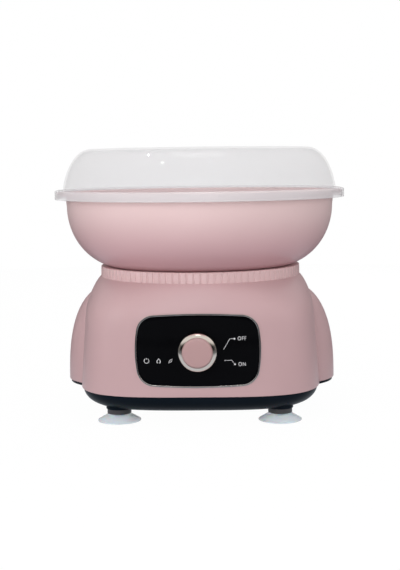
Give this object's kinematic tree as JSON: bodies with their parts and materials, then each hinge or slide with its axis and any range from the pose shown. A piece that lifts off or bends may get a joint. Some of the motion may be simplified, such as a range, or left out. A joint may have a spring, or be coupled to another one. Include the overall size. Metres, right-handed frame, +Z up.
{
  "type": "table-top cotton candy maker",
  "caption": "Electric table-top cotton candy maker: lidded floss bowl on a lobed housing with a rotary switch, spinning extractor head and suction-cup feet.",
  "frame": {"origin": "on the table under the middle of the object, on the axis that the extractor head spins about", "axes": "+Z up along the spindle, -Y towards the front with the control panel, +X to the right seen from the front"},
  "size_m": [0.2888, 0.2888, 0.2592],
  "materials": {
    "pink_plastic": "smooth satin-gloss moulded plastic",
    "lid_plastic": "milky translucent moulded plastic",
    "navy_plastic": "smooth dark blue-black moulded plastic",
    "stem_plastic": "dark warm grey moulded plastic",
    "white_silicone": "soft translucent white silicone",
    "panel_black": "high-gloss black",
    "chrome_trim": "bright plated trim",
    "icon_white": "clear white light guide",
    "circuit_board": "green solder mask",
    "lamp_resin": "clear lamp resin",
    "black_plastic": "black moulded plastic",
    "zinc_steel": "zinc-plated steel",
    "ground_steel": "ground steel",
    "black_rubber": "matte rubber",
    "bright_aluminium": "spun and polished",
    "element_steel": "heat-tinted steel sheath",
    "white_ceramic": "unglazed steatite",
    "magnet_ferrite": "sintered ferrite",
    "bronze": "sintered bronze",
    "carbon": "pressed carbon",
    "iron_core": "laminated core with varnished winding",
    "copper_bars": "turned copper",
    "fan_plastic": "natural nylon"
  },
  "bodies": {
    "base": {"upper_housing": "pink_plastic", "ribbed_collar": "pink_plastic", "bottom_pan": "navy_plastic", "control_panel": "panel_black", "panel_bezel": "chrome_trim", "icon_window_left": "icon_white", "icon_window_middle": "icon_white", "icon_window_right": "icon_white", "indicator_board": "circuit_board", "indicator_lamps": "lamp_resin", "board_screws": "zinc_steel", "rotary_switch": "black_plastic", "switch_nut": "zinc_steel", "cord_grommet": "black_rubber", "terminal_block": "black_plastic", "base_screws": "zinc_steel", "collar_screws": "zinc_steel", "foot_nuts": "zinc_steel", "foot_stem_front_left": "stem_plastic", "foot_stem_front_right": "stem_plastic", "foot_stem_back_left": "stem_plastic", "foot_stem_back_right": "stem_plastic", "suction_cup_front_left": "white_silicone", "suction_cup_front_right": "white_silicone", "suction_cup_back_left": "white_silicone", "suction_cup_back_right": "white_silicone", "heat_shield": "bright_aluminium", "shield_screws": "zinc_steel", "heating_ring": "element_steel", "heater_insulator_a": "white_ceramic", "heater_insulator_b": "white_ceramic", "heater_insulator_c": "white_ceramic", "thermal_cutout": "black_plastic", "motor_can": "zinc_steel", "motor_end_plate": "zinc_steel", "motor_magnets": "magnet_ferrite", "upper_bearing": "bronze", "lower_bearing": "bronze", "carbon_brushes": "carbon", "motor_bracket": "zinc_steel", "motor_damper_a": "black_rubber", "motor_damper_b": "black_rubber", "motor_damper_c": "black_rubber", "mount_screws": "zinc_steel", "plate_screws": "zinc_steel"},
    "spindle": {"drive_shaft": "ground_steel", "armature": "iron_core", "commutator": "copper_bars", "cooling_fan": "fan_plastic", "drive_pin": "ground_steel"},
    "extractor_head": {"head_pan": "bright_aluminium", "head_cover": "bright_aluminium", "head_hub": "bronze", "head_rivets": "bright_aluminium"},
    "knob": {"knob_cap": "pink_plastic", "knob_ring": "chrome_trim", "switch_shaft": "zinc_steel"},
    "bowl": {"floss_bowl": "pink_plastic"},
    "lid": {"lid": "lid_plastic"}
  },
  "joints": [
    {"name": "spindle_spin", "type": "hinge", "parent": "base", "child": "spindle", "pos_m": [0, 0, 0.1], "axis": [0, 0, 1], "continuous": true},
    {"name": "head_lift", "type": "slide", "parent": "spindle", "child": "extractor_head", "axis": [0, 0, 1], "range_m": [0, 0.045]},
    {"name": "bowl_lift", "type": "slide", "parent": "base", "child": "bowl", "axis": [0, 0, 1], "range_m": [0, 0.15]},
    {"name": "lid_lift", "type": "slide", "parent": "bowl", "child": "lid", "axis": [0, 0, 1], "range_m": [0, 0.12]},
    {"name": "knob_turn", "type": "hinge", "parent": "base", "child": "knob", "pos_m": [0, -0.11, 0.0723], "axis": [0, 1, 0], "range_deg": [0, 30]}
  ]
}
